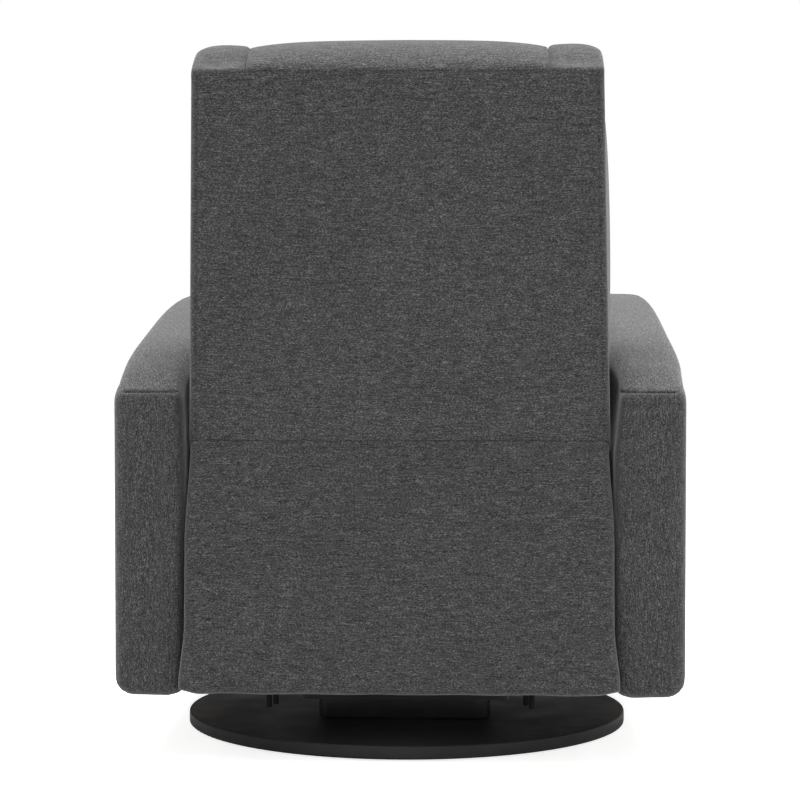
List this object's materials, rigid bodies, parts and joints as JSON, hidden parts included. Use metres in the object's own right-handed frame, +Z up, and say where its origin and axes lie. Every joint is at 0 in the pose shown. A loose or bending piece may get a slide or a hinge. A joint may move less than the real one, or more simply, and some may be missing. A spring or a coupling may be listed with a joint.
{
  "type": "swivel rocker recliner",
  "caption": "Fabric recliner armchair on a round swivel base, with a sprung rocking cradle, a reclining back and a scissor footrest.",
  "frame": {"origin": "on the floor under the middle of the round base", "axes": "+Z up; the sitter faces -Y, the back is at +Y and the sitter's right hand is at -X"},
  "size_m": [0.764, 0.8069, 0.9605],
  "materials": {
    "charcoal_fabric": "charcoal heather weave",
    "black_board": "satin black lacquer on board",
    "felt": "pressed felt",
    "black_gloss": "glossy black moulding",
    "black_steel": "satin black paint",
    "bright_steel": "zinc plated",
    "spring_steel": "oiled spring wire",
    "plywood": "bare plywood",
    "dark_plastic": "matte",
    "handle_plastic": "fine-grained matte"
  },
  "bodies": {
    "base": {"base_disc": "black_board", "base_glides": "felt", "swivel_lower_race": "bright_steel", "swivel_spindle": "bright_steel", "spindle_nut": "bright_steel"},
    "ball_ring": {"swivel_balls": "bright_steel", "ball_cage": "dark_plastic"},
    "turntable": {"swivel_upper_race": "bright_steel", "turn_plate": "black_steel", "swivel_cover": "black_gloss", "rocker_ears": "black_steel", "rocker_shaft": "bright_steel", "rocker_springs": "spring_steel"},
    "seat_frame": {"rocker_plate": "black_steel", "rocker_block_left": "black_steel", "rocker_block_right": "black_steel", "cross_tube_front": "black_steel", "cross_tube_rear": "black_steel", "base_rail_left": "black_steel", "base_rail_right": "black_steel", "stop_bolts": "bright_steel", "side_plate_left": "black_steel", "side_plate_right": "black_steel", "hinge_pins": "bright_steel", "seat_front_rail": "plywood", "seat_rear_rail": "plywood", "deck_board": "plywood", "panel_batten": "plywood", "seat_springs": "spring_steel", "arm_pad_left": "charcoal_fabric", "arm_pad_right": "charcoal_fabric", "arm_board_left": "plywood", "arm_board_right": "plywood", "seat_cushion": "charcoal_fabric", "rear_panel": "charcoal_fabric", "handle_bezel": "handle_plastic", "handle_pin": "bright_steel", "release_cable": "dark_plastic"},
    "backrest": {"back_shell": "charcoal_fabric", "back_board": "plywood", "back_bracket_left": "black_steel", "back_bracket_right": "black_steel", "back_cushion": "charcoal_fabric", "back_bolster_left": "charcoal_fabric", "back_bolster_right": "charcoal_fabric"},
    "drive_links": {"drive_link_left": "black_steel", "drive_link_right": "black_steel", "drive_rivets": "bright_steel", "torque_tube": "black_steel"},
    "cross_links": {"cross_link_left": "black_steel", "cross_link_right": "black_steel", "slide_rollers": "bright_steel"},
    "footrest": {"footrest_link_left": "black_steel", "footrest_link_right": "black_steel", "footrest_rivets": "bright_steel", "footrest_board": "plywood", "footrest_pad": "charcoal_fabric"},
    "support_links": {"support_link_left": "black_steel", "support_link_right": "black_steel"},
    "release_handle": {"handle_paddle": "handle_plastic"}
  },
  "joints": [
    {"name": "swivel", "type": "hinge", "parent": "base", "child": "turntable", "pos_m": [0, 0, 0.05], "axis": [0, 0, 1], "continuous": true},
    {"name": "ball_roll", "type": "hinge", "parent": "base", "child": "ball_ring", "pos_m": [0, 0, 0.035], "axis": [0, 0, 1], "continuous": true},
    {"name": "rock", "type": "hinge", "parent": "turntable", "child": "seat_frame", "pos_m": [0, 0, 0.082], "axis": [1, 0, 0], "range_deg": [-8, 8], "stiffness_Nm_per_rad": 1500, "deforming": ["rocker_springs"]},
    {"name": "recline", "type": "hinge", "parent": "seat_frame", "child": "backrest", "pos_m": [0, 0.28, 0.458], "axis": [-1, 0, 0], "range_deg": [0, 38]},
    {"name": "footrest_drive", "type": "hinge", "parent": "seat_frame", "child": "drive_links", "pos_m": [0, -0.28213, 0.33], "axis": [-1, 0, 0], "range_deg": [0, 77]},
    {"name": "cross_pivot", "type": "hinge", "parent": "drive_links", "child": "cross_links", "pos_m": [0, -0.29107, 0.22789], "axis": [-1, 0, 0], "range_deg": [-154, 0]},
    {"name": "footrest_pivot", "type": "hinge", "parent": "cross_links", "child": "footrest", "pos_m": [0, -0.3, 0.33], "axis": [-1, 0, 0], "range_deg": [0, 154]},
    {"name": "support_pivot", "type": "hinge", "parent": "drive_links", "child": "support_links", "pos_m": [0, -0.3, 0.12578], "axis": [-1, 0, 0], "range_deg": [-154, 0]},
    {"name": "release", "type": "hinge", "parent": "seat_frame", "child": "release_handle", "pos_m": [-0.374, -0.15, 0.4565], "axis": [0, 1, 0], "range_deg": [0, 25], "stiffness_Nm_per_rad": 1.2, "springref_deg": -17.19}
  ],
  "couplings": [
    {"joint": "ball_roll", "follows": "swivel", "ratio": 0.5},
    {"joint": "cross_pivot", "follows": "footrest_drive", "ratio": -2},
    {"joint": "footrest_pivot", "follows": "footrest_drive", "ratio": 2},
    {"joint": "support_pivot", "follows": "footrest_drive", "ratio": -2}
  ]
}
